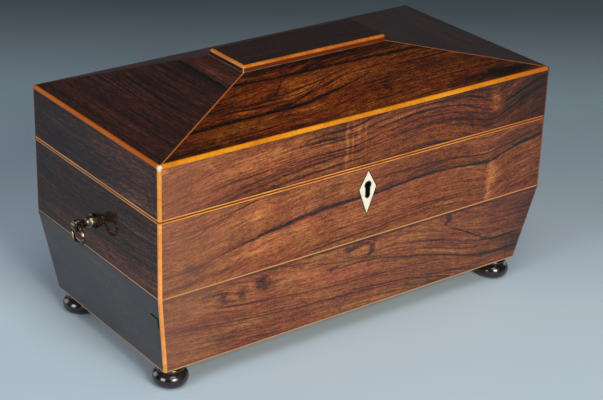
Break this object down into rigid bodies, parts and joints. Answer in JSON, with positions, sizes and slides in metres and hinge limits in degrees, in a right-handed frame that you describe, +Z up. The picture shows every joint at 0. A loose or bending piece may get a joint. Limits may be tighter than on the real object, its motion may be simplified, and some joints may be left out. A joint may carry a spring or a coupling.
{
  "type": "sarcophagus tea chest",
  "caption": "Rosewood veneered box with splayed sides, hipped lid and flat cap, boxwood lines, bone keyhole plate, ring pulls, bun feet, tea canisters and a glass bowl inside.",
  "frame": {"origin": "on the table, under the middle of the box", "axes": "+X to the right along the length, -Y towards the keyhole side, +Z up"},
  "size_m": [0.3552, 0.1619, 0.1915],
  "materials": {
    "pine": "planed",
    "rosewood": "french polished",
    "boxwood": "french polished",
    "ebonised_wood": "gloss",
    "cedar": "satin",
    "brass": "aged",
    "bone": "polished",
    "glass": "clear",
    "foil": "dull",
    "velvet": "pile"
  },
  "bodies": {
    "case": {"case_front_board": "pine", "case_back_board": "pine", "case_left_board": "pine", "case_right_board": "pine", "base_board": "pine", "upper_front_veneer": "rosewood", "upper_back_veneer": "rosewood", "upper_end_veneers": "rosewood", "lower_front_veneer": "rosewood", "lower_back_veneer": "rosewood", "lower_end_veneers": "rosewood", "case_corner_stringing": "boxwood", "case_line_stringing": "boxwood", "foot_front_left": "ebonised_wood", "foot_front_right": "ebonised_wood", "foot_back_left": "ebonised_wood", "foot_back_right": "ebonised_wood", "handle_posts": "brass", "handle_nuts": "brass", "escutcheon": "bone", "lock_case": "brass", "case_screws": "brass", "case_hinge_leaves": "brass", "lid_hinge_pins": "brass", "lining_boards": "cedar", "well_partitions": "cedar", "well_deck": "rosewood", "mixing_bowl": "glass", "canister_left": "rosewood", "canister_right": "rosewood", "canister_foils": "foil", "canister_hinge_leaves": "brass"},
    "ring_left": {"ring_left": "brass"},
    "ring_right": {"ring_right": "brass"},
    "lock_bolt": {"lock_bolt": "brass"},
    "canister_lid_left": {"canister_lid_left": "rosewood", "canister_knob_left": "bone", "canister_leaf_left": "brass"},
    "canister_lid_right": {"canister_lid_right": "rosewood", "canister_knob_right": "bone", "canister_leaf_right": "brass"},
    "lid": {"lid_front_board": "pine", "lid_back_board": "pine", "lid_end_boards": "pine", "lid_roof_boards": "pine", "lid_ceiling": "velvet", "lid_front_veneer": "rosewood", "lid_back_veneer": "rosewood", "lid_end_veneers": "rosewood", "roof_front_veneer": "rosewood", "roof_back_veneer": "rosewood", "roof_end_veneers": "rosewood", "lid_edge_stringing": "boxwood", "roof_stringing": "boxwood", "cap_board": "rosewood", "cap_veneer": "rosewood", "cap_stringing": "boxwood", "link_plate": "brass", "lid_hinge_leaves": "brass", "lid_screws": "brass"}
  },
  "joints": [
    {"name": "lid_hinge", "type": "hinge", "parent": "case", "child": "lid", "pos_m": [0, 0.0801, 0.1291], "axis": [-1, 0, 0], "range_deg": [0, 98]},
    {"name": "ring_left_swing", "type": "hinge", "parent": "case", "child": "ring_left", "pos_m": [-0.1735, 0, 0.09865], "axis": [0, 1, 0], "range_deg": [-45, 225]},
    {"name": "ring_right_swing", "type": "hinge", "parent": "case", "child": "ring_right", "pos_m": [0.1735, 0, 0.09865], "axis": [0, -1, 0], "range_deg": [-45, 225]},
    {"name": "lock_bolt_slide", "type": "slide", "parent": "case", "child": "lock_bolt", "axis": [1, 0, 0], "range_m": [0, 0.005]},
    {"name": "canister_lid_left_hinge", "type": "hinge", "parent": "case", "child": "canister_lid_left", "pos_m": [-0.10125, 0.05155, 0.12345], "axis": [-1, 0, 0], "range_deg": [0, 80]},
    {"name": "canister_lid_right_hinge", "type": "hinge", "parent": "case", "child": "canister_lid_right", "pos_m": [0.10125, 0.05155, 0.12345], "axis": [-1, 0, 0], "range_deg": [0, 80]}
  ],
  "couplings": [
    {"joint": "canister_lid_left_hinge", "follows": "lid_hinge", "ratio": 0.8},
    {"joint": "canister_lid_right_hinge", "follows": "lid_hinge", "ratio": 0.8}
  ]
}
